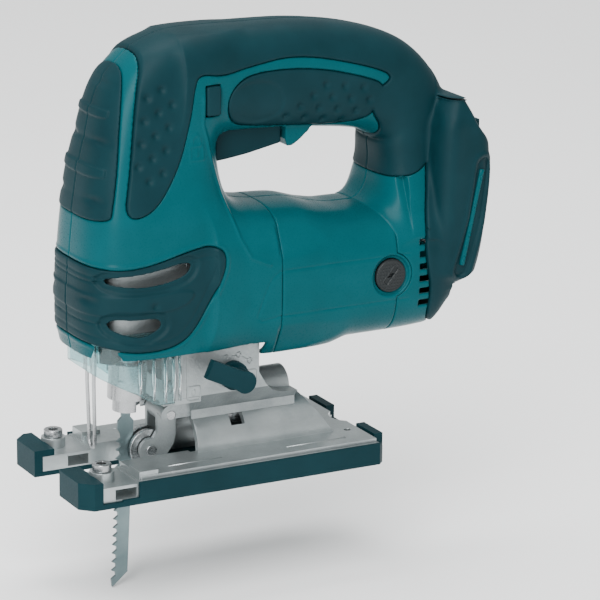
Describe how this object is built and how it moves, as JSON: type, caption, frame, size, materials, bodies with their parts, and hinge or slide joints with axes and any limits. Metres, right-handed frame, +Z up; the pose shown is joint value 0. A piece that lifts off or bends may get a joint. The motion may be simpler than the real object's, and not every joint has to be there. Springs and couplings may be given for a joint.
{
  "type": "cordless jigsaw",
  "caption": "Cordless orbital jigsaw with a closed handle, tilting base, reciprocating blade, clear dust cover and rear battery bay.",
  "frame": {"origin": "on the underside of the base, in the tool's middle plane, 73 mm behind the base's front edge", "axes": "+X to the rear, towards the battery bay; +Y to the tool's left seen from behind; +Z up from the work"},
  "size_m": [0.2046, 0.077, 0.2513],
  "materials": {
    "teal": "semi-gloss moulded plastic",
    "teal_motor": "semi-gloss moulded plastic",
    "grip": "matt moulded elastomer",
    "black": "matt moulded plastic",
    "casting": "fine-grained die casting",
    "steel": "machined",
    "brass": "machined",
    "copper": "wound copper on a laminated core",
    "clear": "clear moulded plastic",
    "white": "clear lamp lens"
  },
  "bodies": {
    "tool_body": {"housing_left": "teal", "housing_right": "teal", "motor_housing": "teal_motor", "grip_left": "grip", "grip_right": "grip", "window_frame_left": "grip", "window_frame_right": "grip", "gear_housing": "casting", "gear_cover": "casting", "field_magnet": "steel", "front_bearing": "steel", "rear_bearing": "steel", "brush_holders": "brass", "carbon_brushes": "black", "brush_caps": "black", "gear_spindle": "steel", "guide_pins": "steel", "retainer_pin": "steel", "switch_unit": "black", "speed_controller": "casting", "battery_terminal": "black", "battery_rails": "grip", "power_leads": "black", "lamp": "white", "wire_guard": "steel", "housing_screws": "steel"},
    "rotor": {"rotor_shaft": "steel", "armature_core": "copper", "commutator": "copper", "cooling_fan": "black", "drive_pinion": "steel"},
    "crank": {"crank_gear": "steel", "crank_pin": "steel", "gear_bush": "brass"},
    "balance_weight": {"counterweight": "steel"},
    "guide": {"slider_guide": "casting", "guide_bushes": "brass"},
    "slider": {"slider_rod": "steel", "clamp_sleeve": "steel", "clamp_collar": "steel", "saw_blade": "steel"},
    "retainer": {"retainer_arm": "casting", "roller_axle": "steel"},
    "roller": {"guide_roller": "steel"},
    "orbit_lever": {"change_lever": "grip", "lever_shaft": "steel"},
    "trigger_body": {"trigger": "grip", "trigger_spring": "steel"},
    "lock_off": {"lock_off_button": "grip"},
    "front_cover": {"dust_cover": "clear"},
    "opener": {"tool_opener": "grip"},
    "carriage": {"base_bolt": "steel", "clamp_plate": "steel", "slide_nut": "steel"},
    "base": {"base_plate": "casting", "cover_plate": "black", "rule_screws": "steel"}
  },
  "joints": [
    {"name": "rotor_spin", "type": "hinge", "parent": "tool_body", "child": "rotor", "pos_m": [0, 0, 0.0845], "axis": [1, 0, 0], "continuous": true},
    {"name": "crank_spin", "type": "hinge", "parent": "tool_body", "child": "crank", "pos_m": [0, 0, 0.11012], "axis": [1, 0, 0], "continuous": true},
    {"name": "rod_slide", "type": "slide", "parent": "guide", "child": "slider", "axis": [0.0454, 0, 0.999], "range_m": [-0.013, 0.013]},
    {"name": "weight_slide", "type": "slide", "parent": "tool_body", "child": "balance_weight", "axis": [0, 0, 1], "range_m": [-0.0059, 0.0059]},
    {"name": "guide_swing", "type": "hinge", "parent": "tool_body", "child": "guide", "pos_m": [-0.02946, 0, 0.152], "axis": [0, 1, 0], "range_deg": [-0.6, 0]},
    {"name": "retainer_swing", "type": "hinge", "parent": "tool_body", "child": "retainer", "pos_m": [-0.0182, 0, 0.028], "axis": [0, 1, 0], "range_deg": [-5.5, 0]},
    {"name": "orbit_lever_turn", "type": "hinge", "parent": "tool_body", "child": "orbit_lever", "pos_m": [0.006, 0, 0.0468], "axis": [0, 1, 0], "range_deg": [0, 90]},
    {"name": "trigger_pull", "type": "slide", "parent": "tool_body", "child": "trigger_body", "axis": [0, 0, 1], "range_m": [0, 0.0055], "stiffness_N_per_m": 600, "springref_m": -0.005, "deforming": ["trigger_spring"]},
    {"name": "lock_off_push", "type": "slide", "parent": "tool_body", "child": "lock_off", "axis": [0, 1, 0], "range_m": [0, 0.0035]},
    {"name": "dust_cover_slide", "type": "slide", "parent": "tool_body", "child": "front_cover", "axis": [0, 0, 1], "range_m": [0, 0.01]},
    {"name": "opener_turn", "type": "hinge", "parent": "tool_body", "child": "opener", "pos_m": [-0.03355, 0, 0.062], "axis": [0, 0, 1], "range_deg": [0, 60]},
    {"name": "base_shift", "type": "slide", "parent": "tool_body", "child": "carriage", "axis": [1, 0, 0], "range_m": [0, 0.02]},
    {"name": "base_tilt", "type": "hinge", "parent": "carriage", "child": "base", "pos_m": [0, 0, 0.0115], "axis": [1, 0, 0], "range_deg": [-45, 45]},
    {"name": "roller_spin", "type": "hinge", "parent": "retainer", "child": "roller", "pos_m": [-0.02558, 0, 0.0116], "axis": [0, 1, 0], "continuous": true}
  ],
  "couplings": [
    {"joint": "crank_spin", "follows": "rotor_spin", "ratio": -0.21429},
    {"joint": "weight_slide", "follows": "rod_slide", "ratio": -0.45},
    {"joint": "retainer_swing", "follows": "guide_swing", "ratio": 8.561}
  ]
}
